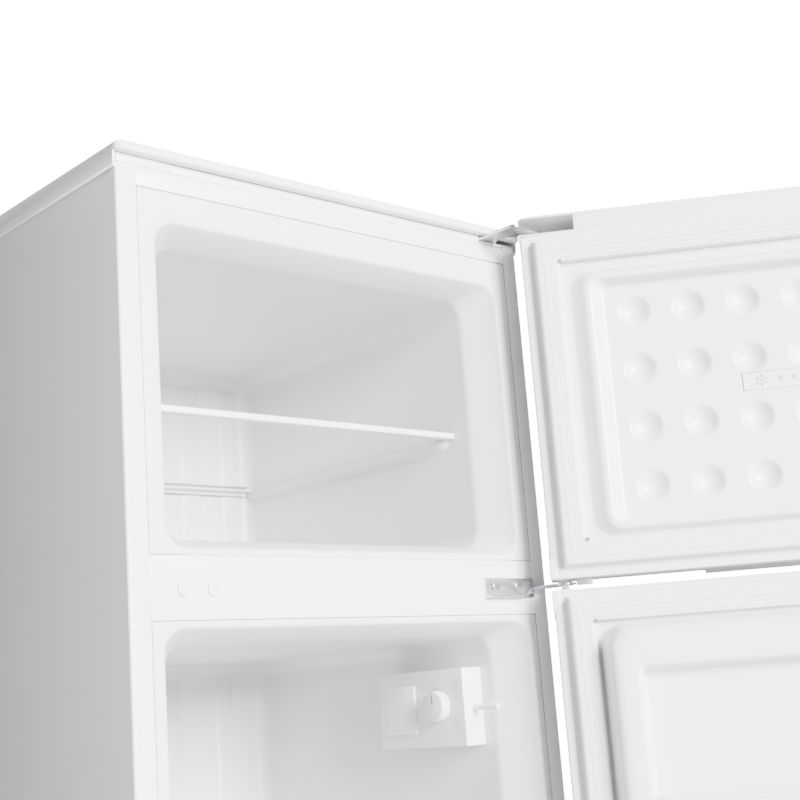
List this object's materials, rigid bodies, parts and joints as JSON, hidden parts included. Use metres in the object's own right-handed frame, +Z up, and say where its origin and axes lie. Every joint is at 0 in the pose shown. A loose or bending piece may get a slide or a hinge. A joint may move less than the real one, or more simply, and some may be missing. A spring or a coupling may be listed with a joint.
{
  "type": "top freezer refrigerator",
  "caption": "Upright white refrigerator with a freezer compartment above, both doors open on right-hand hinges, glass shelves, door bins and a crisper drawer.",
  "frame": {"origin": "on the floor, under the middle of the cabinet's front face", "axes": "+X to the right across the front, +Y from the front face to the back, +Z up"},
  "size_m": [0.8954, 0.9841, 1.43],
  "materials": {
    "painted_steel": "satin white paint over steel",
    "zinc_steel": "zinc plated steel",
    "screw_steel": "zinc plated screws",
    "white_plastic": "satin white moulding",
    "liner_plastic": "smooth white vacuum formed sheet",
    "gasket_rubber": "soft white magnetic seal",
    "foam": "rigid foam",
    "shelf_glass": "clear toughened glass",
    "clear_plastic": "clear moulded plastic",
    "black_steel": "black enamel",
    "black_rubber": "black rubber",
    "dark_plastic": "dark moulding",
    "copper": "bare copper tube",
    "aluminium": "bare aluminium"
  },
  "bodies": {
    "cabinet": {"side_panel_left": "painted_steel", "side_panel_right": "painted_steel", "back_panel": "zinc_steel", "base_tray": "zinc_steel", "cabinet_foam": "foam", "freezer_liner": "liner_plastic", "fridge_liner": "liner_plastic", "top_rail": "painted_steel", "mid_rail": "painted_steel", "bottom_rail": "painted_steel", "front_strip": "white_plastic", "hinge_hole_cover": "white_plastic", "top_cover": "white_plastic", "hole_plugs": "white_plastic", "top_hinge": "zinc_steel", "mid_hinge": "zinc_steel", "bottom_hinge": "zinc_steel", "hinge_screws": "screw_steel", "evaporator": "aluminium", "condenser_tube": "copper", "compressor": "black_steel", "compressor_grommets": "black_rubber", "pipework": "copper", "drip_tray": "white_plastic", "power_inlet": "dark_plastic", "thermostat_housing": "white_plastic", "lamp_lens": "clear_plastic"},
    "freezer_door": {"freezer_door_skin": "painted_steel", "freezer_door_top_cap": "white_plastic", "freezer_door_bottom_cap": "white_plastic", "freezer_door_foam": "foam", "freezer_door_liner": "liner_plastic", "freezer_door_gasket": "gasket_rubber", "freezer_door_bushes": "white_plastic", "freezer_door_stop": "zinc_steel"},
    "fridge_door": {"fridge_door_skin": "painted_steel", "fridge_door_top_cap": "white_plastic", "fridge_door_bottom_cap": "white_plastic", "fridge_door_foam": "foam", "fridge_door_liner": "liner_plastic", "fridge_door_gasket": "gasket_rubber", "fridge_door_bushes": "white_plastic", "fridge_door_stop": "zinc_steel"},
    "freezer_shelf": {"freezer_shelf_glass": "shelf_glass", "freezer_shelf_front_trim": "white_plastic", "freezer_shelf_rear_trim": "white_plastic"},
    "upper_shelf": {"fridge_shelf_upper": "shelf_glass", "fridge_shelf_upper_trim": "white_plastic"},
    "lower_shelf": {"fridge_shelf_lower": "shelf_glass", "fridge_shelf_lower_trim": "white_plastic"},
    "crisper_lid": {"crisper_cover": "shelf_glass"},
    "crisper": {"crisper_drawer": "clear_plastic"},
    "knob": {"thermostat_knob": "white_plastic"},
    "door_switch": {"switch_plunger": "dark_plastic"},
    "bottle_bin": {"bottle_bin": "clear_plastic"},
    "middle_bin": {"door_bin_middle": "clear_plastic"},
    "upper_bin": {"door_bin_upper": "clear_plastic"},
    "left_foot": {"foot_left": "black_rubber"},
    "right_foot": {"foot_right": "black_rubber"},
    "rollers": {"rear_rollers": "dark_plastic"}
  },
  "joints": [
    {"name": "freezer_door_hinge", "type": "hinge", "parent": "cabinet", "child": "freezer_door", "pos_m": [0.2583, -0.0412, 1.2], "axis": [0, 0, 1], "range_deg": [-130.6, 4.4]},
    {"name": "fridge_door_hinge", "type": "hinge", "parent": "cabinet", "child": "fridge_door", "pos_m": [0.2583, -0.0412, 0.5], "axis": [0, 0, 1], "range_deg": [-130.6, 4.4]},
    {"name": "freezer_shelf_slide", "type": "slide", "parent": "cabinet", "child": "freezer_shelf", "axis": [0, -1, 0], "range_m": [0, 0.34]},
    {"name": "upper_shelf_slide", "type": "slide", "parent": "cabinet", "child": "upper_shelf", "axis": [0, -1, 0], "range_m": [0, 0.3]},
    {"name": "lower_shelf_slide", "type": "slide", "parent": "cabinet", "child": "lower_shelf", "axis": [0, -1, 0], "range_m": [0, 0.3]},
    {"name": "crisper_lid_slide", "type": "slide", "parent": "cabinet", "child": "crisper_lid", "axis": [0, -1, 0], "range_m": [0, 0.3]},
    {"name": "crisper_slide", "type": "slide", "parent": "cabinet", "child": "crisper", "axis": [0, -1, 0], "range_m": [0, 0.13]},
    {"name": "thermostat_turn", "type": "hinge", "parent": "cabinet", "child": "knob", "pos_m": [0.184, 0.096, 0.8855], "axis": [-1, 0, 0], "range_deg": [-150, 150]},
    {"name": "door_switch_press", "type": "slide", "parent": "cabinet", "child": "door_switch", "axis": [0, 1, 0], "range_m": [-0.0005, 0.0045]},
    {"name": "bottle_bin_lift", "type": "slide", "parent": "fridge_door", "child": "bottle_bin", "axis": [0, 0, 1], "range_m": [0, 0.04]},
    {"name": "middle_bin_lift", "type": "slide", "parent": "fridge_door", "child": "middle_bin", "axis": [0, 0, 1], "range_m": [0, 0.04]},
    {"name": "upper_bin_lift", "type": "slide", "parent": "fridge_door", "child": "upper_bin", "axis": [0, 0, 1], "range_m": [0, 0.04]},
    {"name": "left_foot_screw", "type": "hinge", "parent": "cabinet", "child": "left_foot", "pos_m": [-0.2345, 0.026, 0.02], "axis": [0, 0, 1], "continuous": true},
    {"name": "right_foot_screw", "type": "hinge", "parent": "cabinet", "child": "right_foot", "pos_m": [0.2345, 0.026, 0.02], "axis": [0, 0, 1], "continuous": true},
    {"name": "rear_roller_axle", "type": "hinge", "parent": "cabinet", "child": "rollers", "pos_m": [0, 0.5, 0.016], "axis": [1, 0, 0], "continuous": true}
  ],
  "couplings": [
    {"joint": "door_switch_press", "follows": "fridge_door_hinge", "m_per_rad": -0.0017548}
  ]
}
